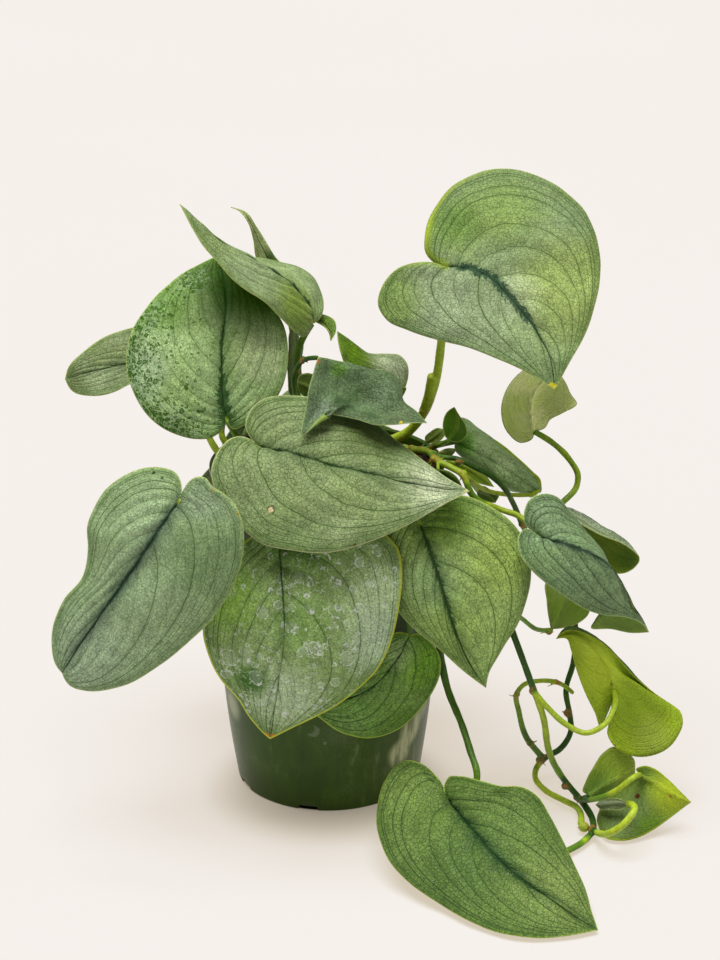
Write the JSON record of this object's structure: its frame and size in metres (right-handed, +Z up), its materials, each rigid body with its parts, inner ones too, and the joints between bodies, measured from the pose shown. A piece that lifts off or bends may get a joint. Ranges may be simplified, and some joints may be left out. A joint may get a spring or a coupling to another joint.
{
  "type": "potted trailing houseplant",
  "caption": "Satin pothos with large silvery heart-shaped leaves and trailing vines, growing in damp soil in a plain dark green tapered nursery pot",
  "frame": {"origin": "centre of the pot's base, on the surface it stands on", "axes": "+Z up along the pot's axis, -Y towards the front that the picture shows, +X to its right"},
  "size_m": [0.3673, 0.3129, 0.365],
  "materials": {
    "pot": "satin moulded plastic, dark olive green, lightly scuffed",
    "soil": "damp bark and peat potting mix",
    "stem": "smooth green stems and petioles, semi-gloss",
    "leaf_silver": "satin leaf, silvery top side with fine dark veins",
    "leaf_dark": "satin leaf, deeper green top side",
    "leaf_lime": "lime to olive underside of a leaf"
  },
  "bodies": {
    "root": {"pot": "pot", "soil": "soil", "stem_left": "stem", "stem_centre": "stem", "stem_back": "stem", "stem_back_left": "stem", "stem_tall": "stem", "stem_right": "stem", "vine_front": "stem", "vine_back": "stem", "leaf_top_right": "leaf_silver", "leaf_top_left": "leaf_silver", "leaf_top_curl": "leaf_lime", "leaf_speckled": "leaf_silver", "leaf_back_left": "leaf_dark", "leaf_centre": "leaf_silver", "leaf_crumpled": "leaf_dark", "leaf_pale_fold": "leaf_silver", "leaf_small_curl": "leaf_lime", "leaf_edge_on": "leaf_dark", "leaf_olive_back": "leaf_lime", "leaf_left": "leaf_silver", "leaf_front": "leaf_silver", "leaf_front_low": "leaf_dark", "leaf_front_right": "leaf_silver", "leaf_floor_front": "leaf_silver", "leaf_back_right": "leaf_lime", "leaf_rolled": "leaf_dark", "leaf_lime_mouth": "leaf_lime", "leaf_pale_small": "leaf_lime", "leaf_olive_low": "leaf_silver", "leaf_young": "leaf_lime", "leaf_olive_front": "leaf_lime", "leaf_olive_under": "leaf_lime", "leaf_right": "leaf_silver", "leaf_right_back": "leaf_silver", "leaf_right_low": "leaf_lime", "leaf_lime_hanging": "leaf_lime", "leaf_floor_right": "leaf_lime", "leaf_floor_back": "leaf_lime", "leaf_floor_small": "leaf_dark", "leaf_hidden_back": "leaf_dark", "leaf_hidden_back_left": "leaf_silver", "leaf_hidden_back_right": "leaf_silver", "leaf_hidden_high": "leaf_silver", "leaf_hidden_middle": "leaf_silver"}
  },
  "joints": []
}
